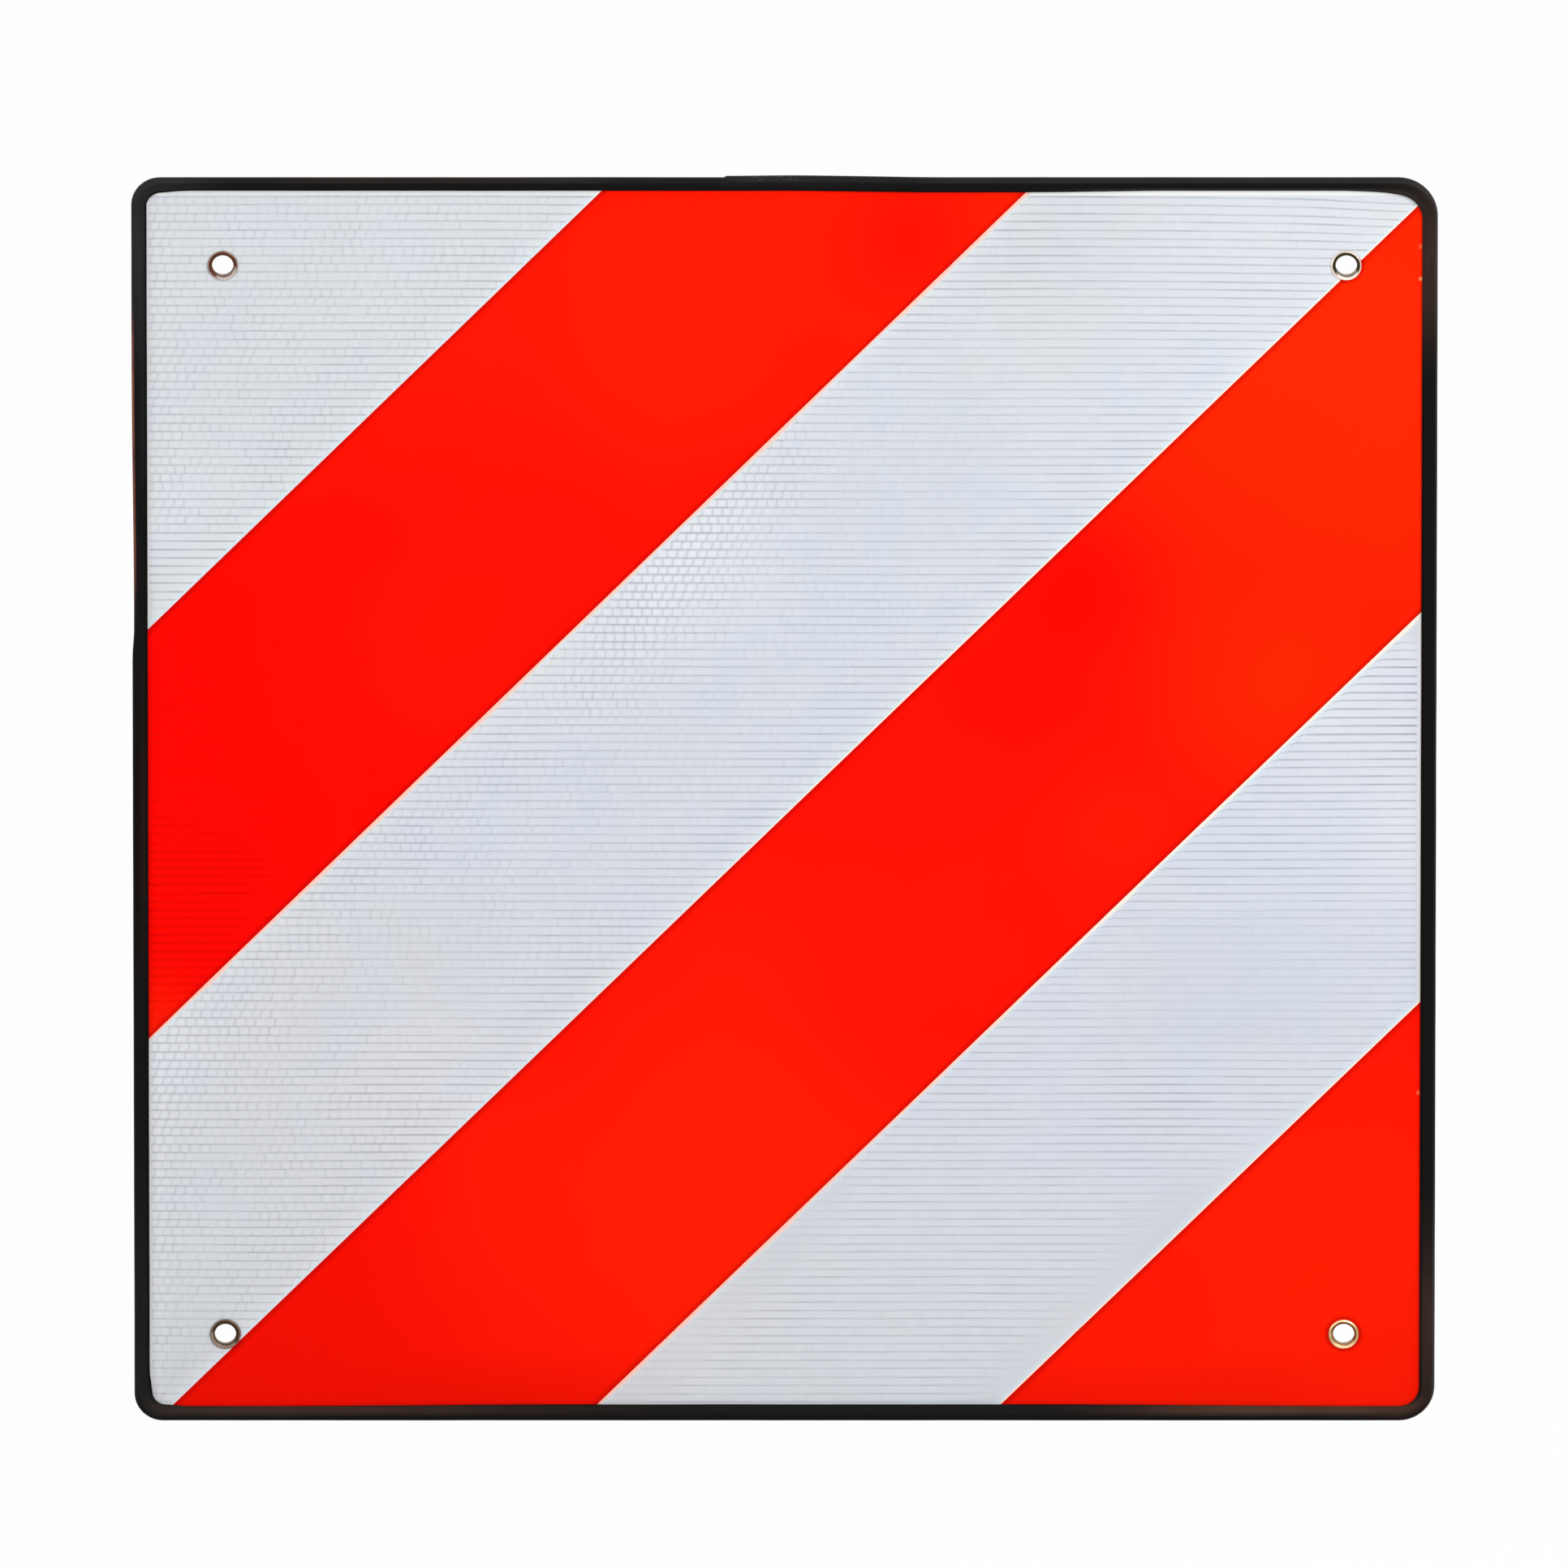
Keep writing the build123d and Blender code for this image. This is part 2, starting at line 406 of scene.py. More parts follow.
def white_sheeting_looks(wire, place, x, z):
    """White sheeting with its brick pattern of sealed cells."""
    across = across_stripes(x, z)
    top_gap, under_gap = nearest_of(across, top_edges), nearest_of(across, under_edges)
    edge_gap = top_gap.math("MINIMUM", under_gap)
    lip_gap = open_half - abs(x).math("MAXIMUM", abs(z))
    bend = abs(across - under_edges[1]).ramp(3.4, 0.9) * x.ramp(60, 150) * row_end_drop
    bend = bend + x.ramp(100, 245) * z.ramp(100, 240) * corner_drop
    bend = bend + x.ramp(195, 243) * z.ramp(212, 244) * lip_drop
    row_line, divider_line, patchy, rim, cell_dice = sealed_cells(wire, place, x, z + bend)
    left_tip = across.math("LESS_THAN", top_edges[0]) * z.ramp(113, 103)
    row_show = row_strength(wire, place, x, z, across, edge_gap, left_tip)
    divider_show = divider_strength(x, z, across, left_tip)
    to_right = x.ramp(200, 240)
    open_film = lip_gap.ramp(to_right + 0.2, to_right * 0.6 + 1.3)
    open_film = open_film * top_gap.ramp(0.6, 1.4) * under_gap.ramp(1.1, 2.4)
    open_film = open_film * abs(across - top_edges[2]).ramp(0.9, x.ramp(150, 225, 14, 2.4))
    evened = divider_show.ramp(0.38, 0.7)
    divider_line = divider_line * divider_show * (patchy * (1 - evened) * 0.62 + evened * 0.27)
    lines = row_line * row_show * 0.85 + divider_line + rim * divider_show * 0.05
    lines = lines.math("MINIMUM", 1) * open_film
    tinted = wire.noise(place, 30, detail=1).ramp(0.35, 0.7, -0.12, 0.28)
    lit = x.ramp(60, 245) * z.ramp(-90, 60) * 0.35 + x.ramp(-234, -242) * z.ramp(-85, -110) * 0.4
    lit_cells = cell_dice * x.ramp(-230, -120, 0.04, 0.1) + (1 - rim) * divider_show * divider_show * 0.42
    greyer = (0.55 - row_show).math("MAXIMUM", 0) * 0.24 + spot(x, z, 107, 222, 55) * 0.07
    # A pale line along the lip, and a painted highlight in a small spot under the top lip at the upper
    # left.
    lip_line_and_highlight = x.ramp(40, 140) * 0.5 + spot(x, z, -239.5, 244, 4.5) * 0.6 + 0.4
    peachy = across.ramp(60, 0).math("MAXIMUM", x.ramp(140, 20))
    sealed = wire.noise(place, 40).ramp(0.3, 0.7, 0.6, 1.25)
    white = paint_over(
        neutral_white,
        (patches(x, z, cool_patches) + tinted, cool_white),
        (z.ramp(-90, -235) * 0.8, low_white),
        (spot(x, z, -242, -240, 45) * 0.7, corner_white),
        (lit + patches(x, z, lit_patches), lit_white),
        (lit_cells * open_film, cell_white),
        (greyer, seal_grey),
        (edge_gap.ramp(8, 2) * across.ramp(80, 60) * 0.3, pale_white),
        (edge_gap.ramp(3.4, 0.8) * 0.55, margin_white),
        (lip_line_and_highlight * lip_gap.ramp(1.5, 0.5), lip_white),
        (lines, seal_grey),
        ((under_gap / sealed).ramp(1.7, 0.9), peachy.blend(cream_sealer, peach_sealer)),
        (top_gap.ramp(0.8, 0.4) * x.ramp(-150, 60, 0.2, 1), cream_sealer),
    )
    relief = (1 - lines).bump(0.35, 0.03)
    roughness = tinted.ramp(-0.2, 0.4, 0.30, 0.40)
    return white, roughness, {"Specular IOR Level": 0.15, "Normal": relief}


make_finish("white_sheeting_finish", white_sheeting_looks, "white_sheeting")

# %% [markdown]
# The stripes are a clear red film over the white, so the rows of seals can show through it, faintly
# and almost only at the left. The red drifts towards orange in patches, most of all at the upper
# right, and is dimmer along the bottom. Beside the edges of a stripe, and around the eyelets'
# flanges, the red is darkened with painted shade. At the right the lip of the rubber has chipped the
# film in three places. The rows are the very same function as in the white, so the lines run on under
# the film without a step.

# %% Make the red film's finish
deep_red = (0.985, 0.0020, 0.0006, 1)
orange_red = (1.000, 0.0203, 0.0006, 1)
dim_red = (0.680, 0.0050, 0.0006, 1)
# Dark red for the seals that show through, and for painted shade.
seal_and_shade_red = (0.420, 0.0010, 0.0006, 1)
chip_orange = (1.000, 0.4000, 0.1600, 1)
orange_patches = (
    (225, 150, 220, 0.55),
    (-20, -150, 170, 0.4),
    (200, -190, 150, 0.3),
    (-246, -92, 34, 0.45),
    (120, 98, 52, -0.3),
    (112, 55, 80, -0.24),
    (186, 42, 60, 0.36),
    (-130, 60, 75, 0.13),
    (50, 225, 45, -0.3),
    (-50, 183, 70, 0.17),
    (150, -205, 45, -0.16),
    (128, -12, 35, 0.14),
    (40, -95, 60, -0.13),
    (-110, -150, 65, 0.14),
)
dim_patches = ((-225, -262, 190, 0.5), (240, -250, 120, 0.28))
clear_patches = ((-150, -240, 90, 0.03), (-246, 38, 28, 0.08))
film_chips = ((243.6, 209.7, 1.2, 1), (243.7, 222.6, 1.5, 0.3), (243.5, -117.5, 1.3, 0.35))
blurred_seal = 1.25
eyelet_low, eyelet_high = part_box("eyelet_top_right")
eyelet_offset = (eyelet_low.x + eyelet_high.x) / 2 / mm


def eyelet_axis(x, z):
    """The place seen from the nearest eyelet's axis: aside, above and straight out."""
    aside = x - x.math("SIGN") * eyelet_offset
    above = z - z.math("SIGN") * eyelet_offset
    return aside, above, distance(aside, above)


def red_film_looks(wire, place, x, z):
    """Red overlay film with the seals of the white sheeting showing through at the left."""
    across = across_stripes(x, z)
    row_line, *_ = sealed_cells(wire, place, x, z, width=blurred_seal)
    cloudy = wire.noise(place, 70)
    orange = z.ramp(40, 235) * 0.3 + x.ramp(-210, 200) * 0.2 + (cloudy - 0.5) * 0.2
    orange = orange + z.ramp(-100, -240) * 0.15 + patches(x, z, orange_patches)
    dimmed = z.ramp(-215, -238) * x.ramp(-200, -100) * x.ramp(230, 160) * 0.33
    clear = x.ramp(-165, -222) * z.ramp(16, -36, 0.35, 1) * z.ramp(-105, -45, 0.3, 1)
    clear = clear * across.math("LESS_THAN", 0) * 0.35 + patches(x, z, clear_patches) + 0.012
    *_, from_axis = eyelet_axis(x, z)
    red = paint_over(
        deep_red,
        (orange, orange_red),
        (dimmed + patches(x, z, dim_patches), dim_red),
        (row_line * clear, seal_and_shade_red),
        # Painted shade: the red darkens beside the stripes' edges and around the eyelets' flanges.
        (nearest_of(across, under_edges).ramp(2.8, 0) * 0.6, seal_and_shade_red),
        (nearest_of(across, top_edges).ramp(3.2, 0.2) * 0.55, seal_and_shade_red),
        (from_axis.ramp(8, 5.9) * 0.65, seal_and_shade_red),
        (patches(x, z, film_chips), chip_orange),
    )
    return red, cloudy.ramp(0.2, 0.8, 0.28, 0.38), {"Specular IOR Level": 0.015}


make_finish("red_film_finish", red_film_looks, *red_stripes)

# %% [markdown]
# The sheet shows only at the back: plain aluminium as it left the rolling mill. Rolling leaves fine
# streaks in one direction, so one noise is stretched along the sheet and drives the roughness, a
# second one adds dull handling patches, and a third draws the few long scratches of use.

# %% Make the aluminium's finish
bright_aluminium = (0.780, 0.785, 0.790, 1)
dull_aluminium = (0.610, 0.615, 0.625, 1)
streak_width, streak_length = 0.9, 260
wipe_width, wipe_length = 55, 190
scratch_width, scratch_length = 2.2, 170
scratch_slope = 0.35


def aluminium_looks(wire, place, x, z):
    """Mill-finish aluminium with rolling streaks up the sheet."""
    drawn = wire.vector(x / streak_width, z / streak_length)
    streaks = wire.noise(drawn, 1, detail=4, roughness=0.65)
    wiped = wire.noise(wire.vector(x / wipe_width, z / wipe_length), 1, detail=3, roughness=0.55)
    across_scratch, along_scratch = x + z * scratch_slope, z - x * scratch_slope
    turned = wire.vector(across_scratch / scratch_width, along_scratch / scratch_length)
    scratches = wire.noise(turned, 1, detail=1).ramp(0.735, 0.775)
    dulled = (streaks * 0.7 + wiped.ramp(0.3, 0.75) * 0.25).math("MINIMUM", 1)
    metal = paint_over(bright_aluminium, (dulled, dull_aluminium), (scratches * 0.5, bright_aluminium))
    relief = (streaks - scratches).bump(0.2, 0.02)
    roughness = dulled * 0.22 + 0.30 - scratches * 0.08
    return metal, roughness, {"Metallic": 1, "Normal": relief}


make_finish("mill_aluminium_finish", aluminium_looks, "backing_sheet")

# %% [markdown]
# The edge is one length of extruded rubber channel, pushed over the sheet all round with its two ends
# butted at the top. A section swept along a path is what the extruder did, so Geometry Nodes do it
# again: the corner points of the sheet become a curve, Fillet Curve rounds them, and Curve to Mesh
# pulls the section along. The section is drawn here from its sizes, with arcs from a formula. Its
# first number points to the front and its second away from the edge, inwards over the film.

# %% Draw the channel's section
sheet_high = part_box("backing_sheet")[1]
channel_low, channel_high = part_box("edge_trim")
film_front = -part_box("red_stripe_middle")[0].y
crown_radius = 2.0 * mm
lip_radius = 0.6 * mm
slot_radius = 0.15 * mm
slot_gap = 0.2 * mm
front_bulge = 0.10 * mm
arc_steps = 10


def arc(middle, radius, start, end, steps=arc_steps):
    """Points on a round corner from one angle to the other, in degrees."""
    angles = [math.radians(start + (end - start) * step / steps) for step in range(steps + 1)]
    return [(middle[0] + radius * math.cos(a), middle[1] + radius * math.sin(a)) for a in angles]


def channel_section():
    """The outline of the rubber, once around."""
    front, back = -channel_low.y, -channel_high.y
    outside = sheet_high.x - channel_high.x
    lip = outside + channel_cover
    crown = outside + crown_radius
    inner = lip - lip_radius
    shares = [step / arc_steps for step in range(1, arc_steps)]
    face = [(front - front_bulge * (1 - share) ** 2, inner + (crown - inner) * share) for share in shares]
    return [
        *arc((front - crown_radius, crown), crown_radius, 0, -90),
        *arc((back + crown_radius, crown), crown_radius, -90, -180),
        *arc((back + lip_radius, inner), lip_radius, 180, 90, 5),
        *arc((-slot_radius, lip - slot_radius), slot_radius, 90, 0, 3),
        (0, -slot_gap),
        (film_front, -slot_gap),
        *arc((film_front + slot_radius, lip - slot_radius), slot_radius, 180, 90, 3),
        *arc((front - front_bulge - lip_radius, inner), lip_radius, 90, 0, 5),
        *face,
    ]


def add_object(name, data):
    """A new object in the scene with this mesh, lamp or camera."""
    made = bpy.data.objects.new(name, data)
    bpy.context.scene.collection.objects.link(made)
    return made


def outline_object(name, points, closed):
    """A helper object with one vertex a point and an edge from each to the next."""
    mesh = bpy.data.meshes.new(name)
    edges = [(i, i + 1) for i in range(len(points) - 1)]
    if closed:
        edges.append((len(points) - 1, 0))
    mesh.from_pydata([(*point, 0) if len(point) == 2 else point for point in points], edges, [])
    return add_object(name, mesh)


channel_outline = outline_object("channel_section", channel_section(), closed=True)
print("points in the channel's section:", len(channel_outline.data.vertices))

# %% [markdown]
# A tree needs its inputs named and a modifier to carry their values. These helpers make both, add the
# steps that every tree here has, and turn the finished result into a plain mesh, because an export
# keeps meshes and drops modifiers.


# %% Helpers for the geometry trees
def new_tree(name, inputs):
    """An empty geometry tree with these named inputs, as the wire of its input."""
    tree = bpy.data.node_groups.new(name, "GeometryNodeTree")
    tree.interface.new_socket("Geometry", in_out="OUTPUT", socket_type="NodeSocketGeometry")
    for label, kind in {"Geometry": "Geometry", **inputs}.items():
        tree.interface.new_socket(label, in_out="INPUT", socket_type=f"NodeSocket{kind}")
    return Wire(tree).node("NodeGroupInput", output="Geometry")


def drawn_section(given):
    """The section that a tree is given as an object, as a curve."""
    drawn = given.node("GeometryNodeObjectInfo", {"Object": given.out("Section")}, "Geometry")
    return given.node("GeometryNodeMeshToCurve", {"Mesh": drawn})


def marked(geometry, name, value):
    """The geometry with a value kept on each point under a name."""
    sockets = {"Geometry": geometry, "Name": name, "Value": value}
    return geometry.node("GeometryNodeStoreNamedAttribute", sockets, data_type="FLOAT", domain="POINT")


def mark(given, name):
    """A value that was kept on each point."""
    return given.node("GeometryNodeInputNamedAttribute", {"Name": name}, data_type="FLOAT")


def uneven_shift(here, fineness, height):
    """A soft random shift of each point, this high either way."""
    noise = here.node("ShaderNodeTexNoise", {"Vector": here, "Scale": fineness, "Detail": 1}, "Color")
    centred = here.node("ShaderNodeVectorMath", {0: noise, 1: (0.5, 0.5, 0.5)}, operation="SUBTRACT")
    return here.node("ShaderNodeVectorMath", {0: centred, "Scale": height * 2}, operation="SCALE")


def close_tree(given, geometry, shift):
    """End a tree: its points moved by this shift, as a plain mesh in the finish that it is given."""
    moved = given.node("GeometryNodeSetPosition", {"Geometry": geometry, "Offset": shift})
    plain = given.node("GeometryNodeRealizeInstances", {"Geometry": moved})
    sockets = {"Geometry": plain, "Material": given.out("Finish")}
    given.node("NodeGroupOutput", {"Geometry": given.node("GeometryNodeSetMaterial", sockets)})
    print("nodes in the tree", given.tree.name, len(given.tree.nodes))


def grow(host, given, values):
    """Run a tree on a host object with these values, and keep the result as the host's plain mesh."""
    carrier = host.modifiers.new("grow", "NODES")
    carrier.node_group = given.tree
    for entry in given.tree.interface.items_tree:
        if entry.name in values:
            carrier[entry.identifier] = values[entry.name]
    graph = bpy.context.evaluated_depsgraph_get()
    grown = bpy.data.meshes.new_from_object(host.evaluated_get(graph), depsgraph=graph)
    host.modifiers.clear()
    host.data = grown
    grown.name = host.name
    print(host.name, "has", sum(len(face.vertices) - 2 for face in grown.polygons), "triangles")


# %% [markdown]
# The rubber isn't dead straight. Soft noise moves it by less than a tenth of a millimetre, and beside
# the joint the crown stands up a little, where the two ends push against each other: in a step on the
# left, which climbs on to the joint, and gently on the right. The lip over the film also wanders: it
# is pulled up along most of the top, along the bottom it reaches higher in the middle, and at two
# corners it is pulled in over the film. On the left side the crown is worn down, more and more towards
# the middle, and then ends in a small step.

# %% Say how the rubber has moved
joint_place = 2.3 * mm
shift_sizes = {
    "Joint Place": joint_place,
    "Joint Rise": 0.72 * mm,
    "Left Reach": 25.5 * mm,
    "Right Reach": 62 * mm,
    "Edge Height": sheet_high.z,
    "Top Lip Lift": 1.15 * mm,
    "Bottom Lip Lift": 0.7 * mm,
    "Left Wear": 0.65 * mm,
    "Corner Pull": 1 * mm,
    "Unevenness": 0.07 * mm,
}
rubber_fineness = 28


def corner_gap(x, z, side):
    """How far a point is from the lip's lower left corner, side -1, or its upper right one, side 1."""
    return distance(x - side * open_half * mm, z - side * open_half * mm)


def rubber_shift(given, here):
    """How far each point of the rubber has moved."""
    sizes = [given.out(name) for name in shift_sizes]
    place, joint_rise, left_reach, right_reach, edge = sizes[:5]
    top_lift, bottom_lift, left_wear, corner_pull, unevenness = sizes[5:]
    x, y, z = (here.part(axis) for axis in "XYZ")
    leftwards = place - x
    left = leftwards.ramp(left_reach, left_reach - 1 * mm) * leftwards.ramp(left_reach, 0, 0.78, 1)
    right = (x - place).ramp(right_reach, 0)
    on_top, on_left = (out.ramp(edge - 3 * mm, edge + 1 * mm) for out in (z, 0 - x))
    rise = left * right * on_top * joint_rise
    inward = edge - abs(z)
    in_front = (0 - y).ramp(1.2 * mm, 1.5 * mm)
    on_lip = inward.ramp(1 * mm, 3.9 * mm) * inward.ramp(9 * mm, 6 * mm) * in_front
    on_lip = on_lip * (0 - x).ramp(245 * mm, 228 * mm) * x.ramp(243 * mm, 212 * mm)
    top_lift = abs(x - 75 * mm).ramp(15 * mm, 75 * mm, 0.45, 1) * top_lift
    bottom_lift = abs(x - 10 * mm).ramp(215 * mm, 90 * mm) * bottom_lift
    lift = z.math("GREATER_THAN", 0) * (top_lift - bottom_lift) + bottom_lift
    wear_and_light = on_left * z.ramp(175 * mm, 75 * mm) * z.ramp(57 * mm, 69 * mm) * left_wear
    pulled = mark(given, "inward").ramp(1 * mm, 3.9 * mm) * in_front * corner_pull
    pulled_low = pulled * corner_gap(x, z, -1).ramp(15 * mm, 4 * mm)
    pulled_high = pulled * corner_gap(x, z, 1).ramp(16 * mm, 6 * mm)
    shift_up = rise + lift * on_lip + pulled_low * 0.7 - pulled_high * 0.8
    shift = given.vector(wear_and_light + pulled_low, 0, shift_up)
    uneven = uneven_shift(here, rubber_fineness, unevenness)
    return given.node("ShaderNodeVectorMath", {0: uneven, 1: shift}, operation="ADD")


print("sizes in mm:", {name: round(size / mm, 2) for name, size in shift_sizes.items()})

# %% [markdown]
# In the sweep, the straight runs are divided into short steps, so that there are points to move. The
# section shrinks a little over the last half millimetre of each end, which leaves the small notch that
# shows at the joint. The tree marks where each point lies along the path and across the section, for
# the finish.

# %% Build the channel's tree
channel_inputs = {
    "Section": "Object",
    "Step": "Float",
    **dict.fromkeys(shift_sizes, "Float"),
    "Finish": "Material",
}
corner_steps = 14
pinched_length = 0.6 * mm
pinched_size = 0.97


def channel_tree():
    """Round the corners, divide the runs, sweep the section and move its points."""
    given = new_tree("rubber_channel", channel_inputs)
    here = given.node("GeometryNodeInputPosition")
    path = given.node("GeometryNodeMeshToCurve", {"Mesh": given})
    rounding = {"Curve": path, "Count": corner_steps, "Radius": mark(given, "corner_radius")}
    path = given.node("GeometryNodeFilletCurve", rounding, mode="POLY")
    following = {"Index": given.node("GeometryNodeInputIndex") + 1, "Value": here}
    there = given.node("GeometryNodeFieldAtIndex", following, data_type="FLOAT_VECTOR")
    run = given.node("ShaderNodeVectorMath", {0: here, 1: there}, "Value", operation="DISTANCE")
    cuts = (run / given.out("Step")).math("FLOOR")
    path = given.node("GeometryNodeSubdivideCurve", {"Curve": path, "Cuts": cuts})
    along = given.node("GeometryNodeSplineParameter", output="Length")
    to_end = along.math("MINIMUM", given.node("GeometryNodeSplineLength") - along)
    pinched = to_end.ramp(0, pinched_length, pinched_size, 1)
    path = given.node("GeometryNodeSetCurveRadius", {"Curve": path, "Radius": pinched})
    path = marked(path, "along", along)
    section = marked(drawn_section(given), "inward", here.part("Y"))
    sweep = {"Curve": path, "Profile Curve": section, "Fill Caps": True}
    close_tree(given, given.node("GeometryNodeCurveToMesh", sweep), rubber_shift(given, here))
    return given


channel_given = channel_tree()

# %% [markdown]
# Black rubber is never quite black. It has a fine grain and faint streaks along the extrusion. The
# grey along the top crown and at the left-hand corners is partly the rubber's own tone and partly a
# painted highlight on the rounded crown. The brown at the right and along the bottom is partly bloom
# and partly a painted sheen. The outer rim at the right carries a painted highlight, the inner lip and
# the lower crown at the bottom carry painted shade, and the worn place at the left has rubbed on
# something red. The streaks and bands follow what the tree marked along the path and across the
# section, so they turn with the corners.

# %% Make the rubber's finish
fresh_rubber = (0.0046, 0.0042, 0.0041, 1)
painted_shade_black = (0.0008, 0.0008, 0.0008, 1)
brown_bloom_and_sheen = (0.0750, 0.0420, 0.0280, 1)
brown_rubber = (0.0040, 0.0008, 0.0003, 1)
grey_and_highlight_rubber = (0.0240, 0.0238, 0.0242, 1)
red_rub = (0.2600, 0.0800, 0.0550, 1)
scuff_and_highlight_grey = (0.0900, 0.0920, 0.0950, 1)
grey_and_highlight_corners = ((-257, 222, 62, 1), (-255, -225, 110, 0.35))
bottom_sheen_and_bloom = ((190, -252, 95, 1.1), (-160, -252, 130, 0.45), (-215, -250, 55, 0.3))
corner_sheen_and_bloom = ((256, 216, 50, 0.47), (256, -215, 65, 0.42))
rim_highlight_corners = ((250, -205, 75, 0.2), (250, 222, 45, 0.15))


def rubber_looks(wire, place, x, z):
    """Satin black rubber with grain, streaks, brown blooming, painted highlights and painted shade."""
    along, inward = wire.attribute("along"), wire.attribute("inward") / mm
    streaks = wire.noise(wire.vector(along * 25, place.part("Y") / 0.5, inward / 0.6), 1)
    mottled = wire.noise(place, 26, detail=3)
    grain = wire.noise(place, 0.35, roughness=0.6)
    crown, towards_lip = inward.ramp(0.4, -1), inward.ramp(-0.2, 2.9)
    top_side, bottom_side = z.ramp(237, 246), z.ramp(-237, -246)
    top_crown = top_side * crown
    left_crown = top_crown * x.ramp(-80, -105) * x.ramp(-238, -222)
    left_middle = spot(x, z, -250, -8, 85)
    dark_crown = abs(x + 45).ramp(40, 15) * 0.45 + abs(x - 28).ramp(42, 18) * 0.3
    # Grey tone and painted highlight: much of this grey, on the top crown and at the upper left corner,
    # stands for light on the rounded crown.
    grey_and_highlight = patches(x, z, grey_and_highlight_corners) + top_crown * (0.75 - dark_crown) - left_crown * 0.35
    grey_and_highlight = grey_and_highlight + top_side * x.ramp(-25.5, -23) * x.ramp(60, 0) * inward.ramp(2.6, 0.4) * 0.15
    grey_and_highlight = grey_and_highlight + (spot(x, z, -250, 160, 55) + bottom_side) * towards_lip * 0.3
    grey_and_highlight = grey_and_highlight + top_side * x.ramp(90, 130) * inward.ramp(1.6, 3.2) * 0.7
    # Brown bloom with a painted sheen: the lighter brown at the right-hand corners and along the bottom
    # also stands for light.
    sheen_and_bloom = patches(x, z, bottom_sheen_and_bloom) * bottom_side * towards_lip + patches(x, z, corner_sheen_and_bloom)
    sheen_and_bloom = sheen_and_bloom + left_middle * towards_lip * 0.14 + left_crown * x.ramp(-205, -185) * 0.1
    aged = streaks.ramp(0.3, 0.6, 0.75, 1) * mottled.ramp(0.3, 0.65, 0.85, 1.1)
    pale_lip = bottom_side.math("MAXIMUM", x.ramp(90, 130) * z.ramp(150, 190))
    scuffs = wire.noise(wire.vector(x / 3.5, inward / 0.3), 1).ramp(0.56, 0.7)
    scuffs = scuffs * top_crown * x.ramp(-16, -7) * x.ramp(8, 3)
    # Painted highlight along the outer rim at the right; the scuffs beside the joint are real wear.
    rim_highlight = (patches(x, z, rim_highlight_corners) + 0.08) * inward.ramp(-0.5, -1.3) * x.ramp(238, 244)
    rubbed = inward.ramp(-0.6, -1.2) * x.ramp(-238, -244) * z.ramp(68, 110) * z.ramp(205, 175)
    rubber = paint_over(
        fresh_rubber,
        (grey_and_highlight * aged, grey_and_highlight_rubber),
        (left_middle * 0.85, brown_rubber),
        (sheen_and_bloom * aged, brown_bloom_and_sheen),
        # Painted shade on the inner lip and on the lower crown of the bottom side.
        (inward.ramp(2.4, 3.9) * (1 - pale_lip) * 0.8, painted_shade_black),
        (bottom_side * crown * 0.7, painted_shade_black),
        (scuffs * 0.7 + rim_highlight, scuff_and_highlight_grey),
        (rubbed * mottled.ramp(0.3, 0.6, 0.4, 0.9), red_rub),
    )
    relief = (grain + streaks * 0.7).bump(0.5, 0.03)
    roughness = mottled.ramp(0.3, 0.7, 0.40, 0.52)
    return rubber, roughness, {"Specular IOR Level": 0.05, "Normal": relief}


rubber = make_finish("black_rubber_finish", rubber_looks)

# %% [markdown]
# The path has a point for each corner of the sheet, and a few close ones at the joint and where the
# rise beside it starts. Each point carries its corner's radius as an attribute, so that the right-hand
# corners can be rounder than the left-hand ones, as they are on this panel. At the upper right the
# rubber was stretched over the corner, so there it is rounder than the sheet inside it.

# %% Sweep the rubber channel
joint_points = (0.008 * mm, 0.25 * mm, 0.6 * mm, 1.5 * mm)
step_points = (23 * mm, 24.5 * mm, 25 * mm, 25.5 * mm, 27 * mm)
path_step = 4 * mm
left_radius = 9.2 * mm
right_radius = 12 * mm
stretched_radius = 13.5 * mm
right, top = sheet_high.x, sheet_high.z
route = [
    *((joint_place + gap, top, 0) for gap in joint_points),
    (right, top, stretched_radius),
    (right, -top, right_radius),
    (-right, -top, left_radius),
    (-right, top, left_radius),
    *((joint_place - gap, top, 0) for gap in reversed(joint_points + step_points)),
]
channel = outline_object("rubber_channel", [(x, 0, z) for x, z, _ in route], closed=False)
radii = channel.data.attributes.new("corner_radius", "FLOAT", "POINT")
radii.data.foreach_set("value", [radius for _, _, radius in route])
channel_sizes = {"Section": channel_outline, "Step": path_step, **shift_sizes, "Finish": rubber}
grow(channel, channel_given, channel_sizes)
bpy.data.objects.remove(channel_outline)

# %% [markdown]
# An eyelet is a thin brass tube whose ends are rolled over: a round flange on the face and a smaller
# one at the back, clinched on a washer. Both are rings, so one tree serves for both: it sweeps a
# section around a circle and sets a copy at each place. The section's first number is the distance
# from the axis, less the circle's radius, and its second points to the back.

# %% Draw the rings' sections
bore_radius = frame["record"]["mounts"][0]["dims"]["hole_r_mm"] * mm
tube_wall = 0.5 * mm
front_roll = 0.95 * mm
back_roll = 0.80 * mm
circle_radius = 5.0 * mm
washer_low, washer_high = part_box("eyelet_washer_top_left")
washer_outside = (washer_high.x - washer_low.x) / 2
washer_inside = bore_radius + tube_wall + 0.1 * mm
washer_thickness = washer_high.y - washer_low.y
washer_edge = 0.18 * mm


